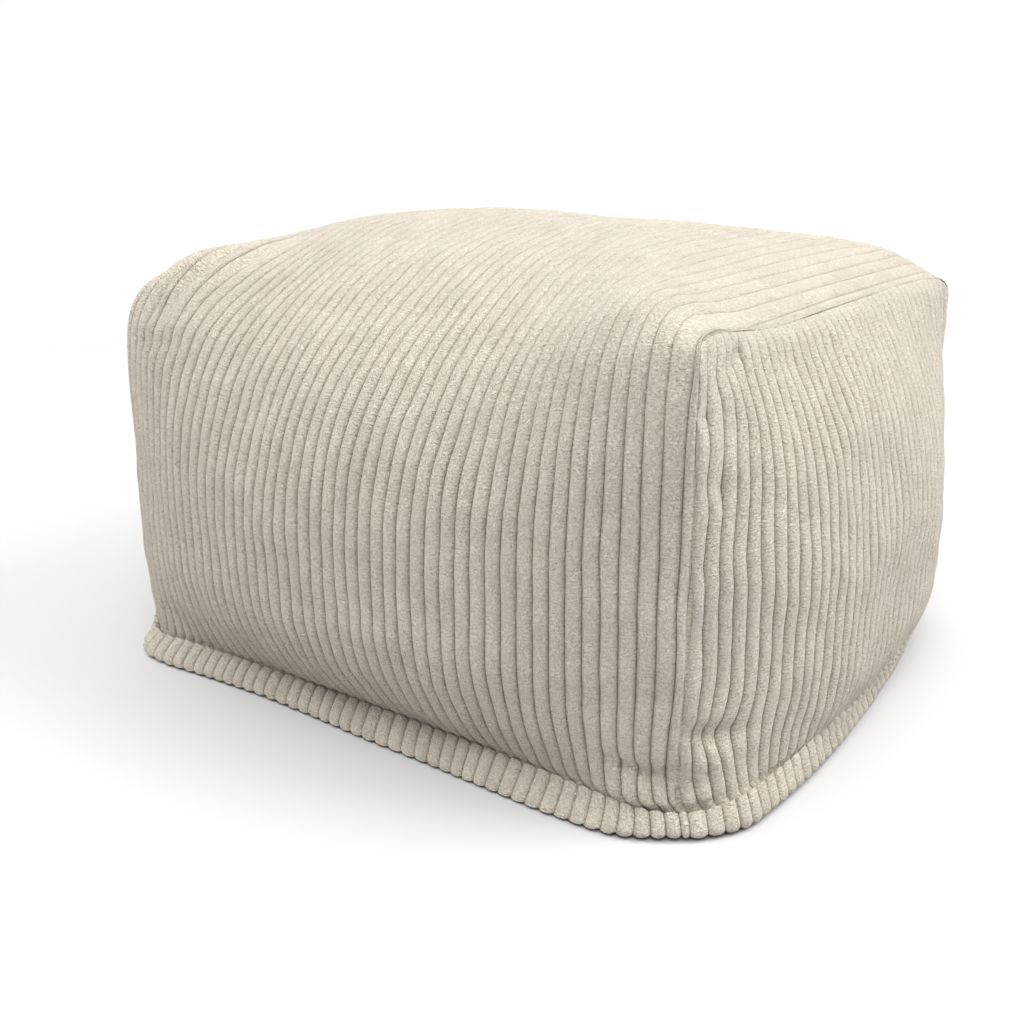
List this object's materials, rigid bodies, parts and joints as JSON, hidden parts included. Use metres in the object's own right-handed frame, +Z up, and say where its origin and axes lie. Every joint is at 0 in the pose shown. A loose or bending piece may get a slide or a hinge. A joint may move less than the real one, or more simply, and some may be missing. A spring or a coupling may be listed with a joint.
{
  "type": "bean bag footstool",
  "caption": "Soft box-shaped footstool in wide-ribbed cord, with a domed top, bulged walls and a ribbed hem round the floor.",
  "frame": {"origin": "centre of the footprint, on the floor", "axes": "+Z up, X along the long side, -Y the front wall"},
  "size_m": [0.5458, 0.487, 0.316],
  "materials": {
    "jumbo_cord": "cream jumbo cord with a short soft pile",
    "base_cloth": "plain woven cloth"
  },
  "bodies": {
    "root": {"wrap_panel": "jumbo_cord", "end_panel_right": "jumbo_cord", "end_panel_left": "jumbo_cord", "base_panel": "base_cloth"}
  },
  "joints": []
}
